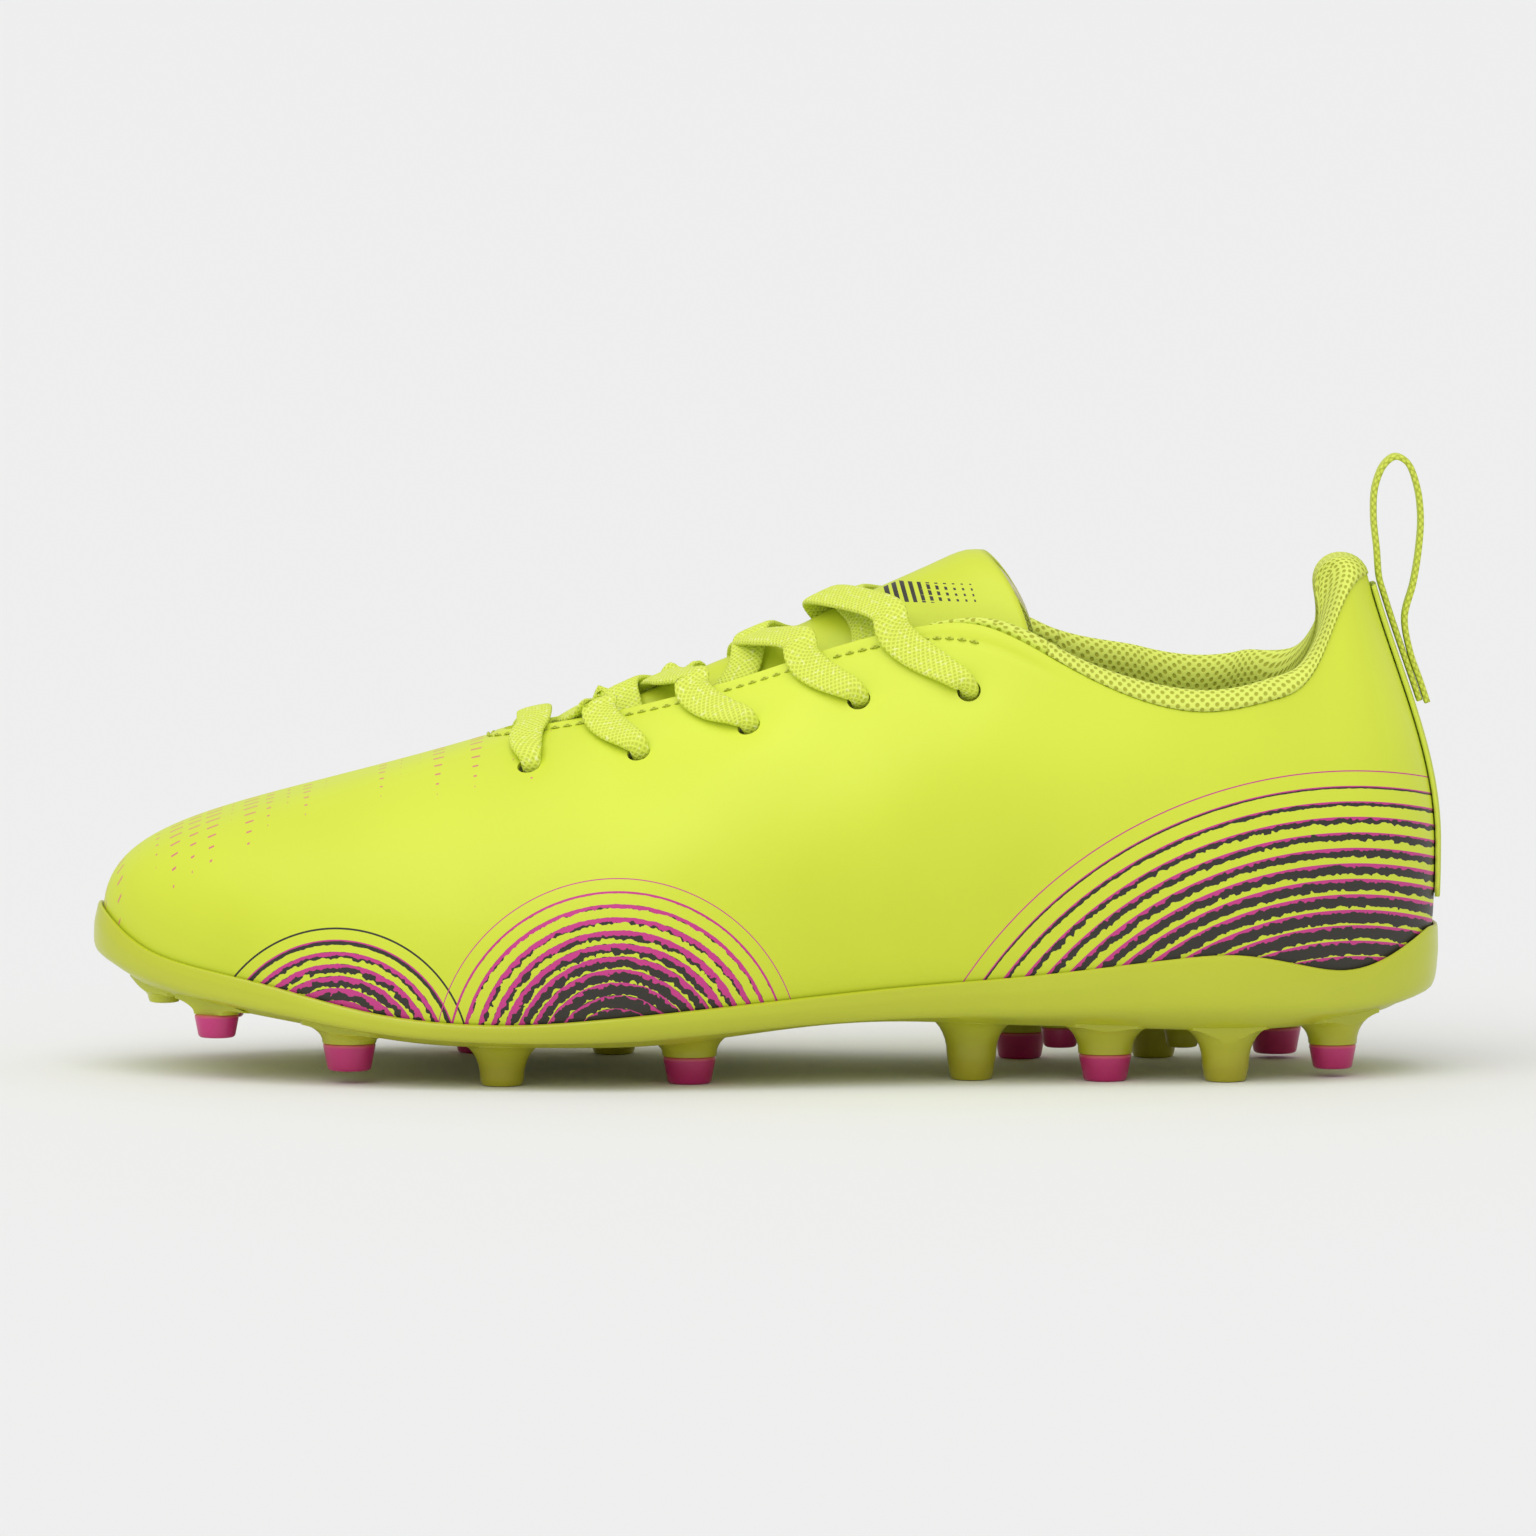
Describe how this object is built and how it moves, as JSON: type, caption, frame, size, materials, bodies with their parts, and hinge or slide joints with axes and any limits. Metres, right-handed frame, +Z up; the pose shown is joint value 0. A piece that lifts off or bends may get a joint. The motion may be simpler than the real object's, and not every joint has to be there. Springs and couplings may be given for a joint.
{
  "type": "soccer cleat",
  "caption": "Low-cut laced soccer cleat, left shoe, with a studded outsole, padded collar, hinged tongue and heel pull loop.",
  "frame": {"origin": "centre of the bounding box in plan, at the height of the lowest stud tips", "axes": "+Z up, -X towards the toe, +X towards the heel, -Y the lateral (outer) side, +Y the medial side"},
  "size_m": [0.2408, 0.0854, 0.1102],
  "materials": {
    "upper_synthetic": "satin, smooth",
    "stiffener": "matte",
    "lining": "fine knit",
    "collar_mesh": "open mesh",
    "foam": "matte",
    "board": "matte fibre board",
    "outsole_plastic": "satin moulded",
    "stud_plastic": "satin moulded",
    "woven": "woven",
    "aglet_plastic": "clear-coated"
  },
  "bodies": {
    "shoe": {"upper_shell": "upper_synthetic", "toe_puff": "stiffener", "heel_counter": "stiffener", "eyestay_reinforcement_lateral": "stiffener", "eyestay_reinforcement_medial": "stiffener", "vamp_lining": "lining", "collar_lining": "collar_mesh", "collar_foam": "foam", "insole_board": "board", "outsole": "outsole_plastic", "stud_tip_01": "stud_plastic", "stud_tip_02": "stud_plastic", "stud_tip_03": "stud_plastic", "stud_tip_04": "stud_plastic", "stud_tip_05": "stud_plastic", "stud_tip_06": "stud_plastic", "stud_tip_07": "stud_plastic", "stud_tip_08": "stud_plastic", "stud_tip_09": "stud_plastic", "stud_tip_10": "stud_plastic", "lace": "woven", "aglet_lateral": "aglet_plastic", "aglet_medial": "aglet_plastic", "heel_tape": "woven"},
    "tongue": {"tongue_shell": "upper_synthetic", "tongue_foam": "foam", "tongue_lining": "lining"},
    "sockliner": {"sockliner": "foam"},
    "pull_loop": {"pull_loop": "woven"}
  },
  "joints": [
    {"name": "tongue_hinge", "type": "hinge", "parent": "shoe", "child": "tongue", "pos_m": [-0.088, 0, 0.044], "axis": [0, 1, 0], "range_deg": [0, 5]},
    {"name": "sockliner_lift", "type": "hinge", "parent": "shoe", "child": "sockliner", "pos_m": [-0.112, 0, 0.022], "axis": [0, -1, 0], "range_deg": [0, 8]},
    {"name": "pull_loop_hinge", "type": "hinge", "parent": "shoe", "child": "pull_loop", "pos_m": [0.1175, 0, 0.0665], "axis": [0, 1, 0], "range_deg": [0, 110]}
  ]
}
